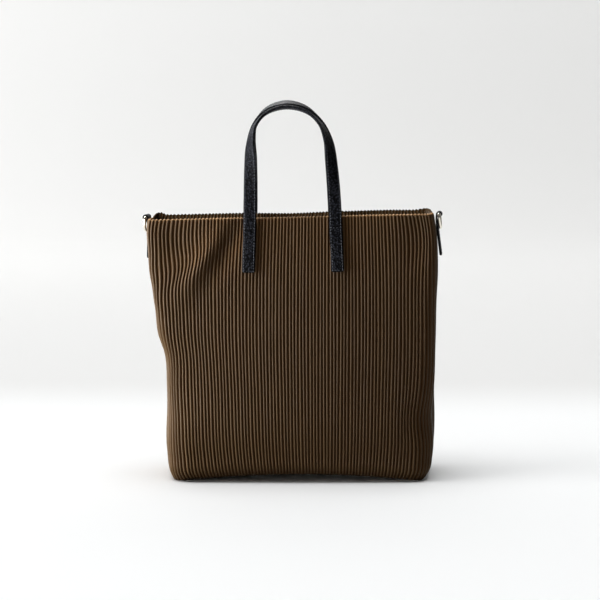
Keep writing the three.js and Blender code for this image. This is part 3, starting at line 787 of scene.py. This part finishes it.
# Painted shade: the paper's white turns grey over this span behind the bag.
painted_shade = add(tree, "ShaderNodeMapRange", {"Value": far, "From Min": PAINTED_SHADE_SPAN[0], "From Max": PAINTED_SHADE_SPAN[1]},
            interpolation_type="SMOOTHSTEP").outputs[0]
paper_colour = add(tree, "ShaderNodeMix", {"Factor": painted_shade, 6: colour("#f4f5f5"), 7: colour("#e1e1e0")},
                   data_type="RGBA").outputs[2]
matt = add(tree, "ShaderNodeBsdfPrincipled", {"Base Color": paper_colour, "Roughness": 0.8})
add(tree, "ShaderNodeOutputMaterial", {"Surface": matt.outputs[0]})

wall_y = SWEEP_START + SWEEP_RADIUS
sweep = np.concatenate([
    [(-PAPER_REACH, 0), (SWEEP_START, 0)],
    arc((SWEEP_START, SWEEP_RADIUS), SWEEP_RADIUS, -85, -5, 17),
    [(wall_y, SWEEP_RADIUS), (wall_y, PAPER_TOP)],
]) / MM
floor_points = [(x / MM, y, z) for x in (-PAPER_REACH, PAPER_REACH) for y, z in sweep]
floor_faces = [(k, k + len(sweep), k + 1 + len(sweep), k + 1) for k in range(len(sweep) - 1)]
floor = new_piece("floor", floor_points, floor_faces, floor_paper)

# The studio's walls give a weak even light, stronger from the left, from behind and from above.
WALL_LIGHT = 0.12
WALL_LEAN = (-0.09, 0.06, 0.06)
world = bpy.data.worlds.new("studio")
world.use_nodes = True
tree = world.node_tree
tree.nodes.clear()
way = add(tree, "ShaderNodeTexCoord").outputs["Generated"]
bright = add(tree, "ShaderNodeVectorMath", {0: way, 1: WALL_LEAN}, operation="DOT_PRODUCT").outputs["Value"]
strength = add(tree, "ShaderNodeMath", {0: bright, 1: WALL_LIGHT}, operation="ADD").outputs[0]
sky = add(tree, "ShaderNodeBackground", {"Color": colour("#fcfdff"), "Strength": strength})
add(tree, "ShaderNodeOutputWorld", {"Surface": sky.outputs[0]})
bpy.context.scene.world = world


def lit(name, pieces):
    """A group of pieces that a lamp lights."""
    group = bpy.data.collections.new(name)
    for piece in pieces:
        group.objects.link(piece)
    return group


pieces = [made for made in bpy.context.scene.collection.all_objects if made.type == "MESH" and made != floor]
paper = lit("paper", [floor])
bag = lit("bag", pieces)
front_cloth = lit("front", [piece for piece in pieces if piece.name == "front_panel_cloth"])
back_cloth = lit("back", [piece for piece in pieces if piece.name == "back_panel_cloth"])
trim = lit("trim", [piece for piece in pieces if not piece.name.endswith("_cloth")])


def lamp(name, kind, at, aim, power, receivers, blockers=None, **settings):
    """A light that points at a place and lights one group. All pieces or the blockers alone shade it."""
    light = bpy.data.lights.new(name, kind)
    light.energy = power
    for setting, value in settings.items():
        setattr(light, setting, value)
    made = bpy.data.objects.new(name, light)
    made.location = at
    made.rotation_mode = "QUATERNION"
    made.rotation_quaternion = (Vector(aim) - Vector(at)).to_track_quat("-Z", "Y")
    made.light_linking.receiver_collection = receivers
    made.light_linking.blocker_collection = blockers
    bpy.context.scene.collection.objects.link(made)


WINDOW_TINT = colour("#f8fbff")[:3]
SKY_TINT = colour("#ffecd4")[:3]
FILL_TINT = colour("#ffdfc0")[:3]
# name, kind, place, aim, power, the pieces that it lights
lamp("overhead", "SUN", (-0.15, -0.1, 2.4), (0, 0, 0), 2.1, paper, angle=math.radians(45))
lamp("backdrop", "SUN", (0, -2.4, 0), (0, 0, 0), 1.2, paper, paper, angle=math.radians(2))
lamp("backdrop left", "AREA", (-2.4, 2.4, 2.0), (-1.4, 4.6, 0.8), 22, paper, size=1.0)
lamp("wash", "AREA", (-2.6, -0.6, 3.2), (0.3, 1.0, 0), 48, paper, size=2.0)
lamp("window", "AREA", (-0.68, -0.19, 0.24), (0, 0, 0.15), 25.5, bag, size=0.5, color=WINDOW_TINT)
lamp("skylight", "AREA", (-0.4, 0.35, 2.2), (0, 0, 0.3), 545, front_cloth, size=0.8, color=SKY_TINT)
lamp("fill", "AREA", (-0.3, -2.4, 0.7), (0, 0, 0.15), 9, front_cloth, size=0.8, color=FILL_TINT)
lamp("inside", "AREA", (-0.7, -1.6, 1.0), (0, 0, 0.3), 44, back_cloth, size=0.8)
lamp("rear window", "AREA", (-0.75, 0.19, 0.25), (0, 0, 0.15), 18, back_cloth, size=0.5)
lamp("rear light", "AREA", (-0.3, 0.9, 1.6), (0, 0, 0.35), 64, trim, size=0.5)

CAMERA_PLACE = (0.009, -2.2, 0.455)
CAMERA_TILT = 6.508
LENS_MM = 114.59
SENSOR_MM = 36
camera = bpy.data.objects.new("camera", bpy.data.cameras.new("camera"))
camera.data.lens = LENS_MM
camera.data.sensor_width = SENSOR_MM
camera.location = CAMERA_PLACE
camera.rotation_euler = (math.radians(90 - CAMERA_TILT), 0, 0)
bpy.context.scene.collection.objects.link(camera)
bpy.context.scene.camera = camera
bpy.context.scene.view_settings.view_transform = "Standard"
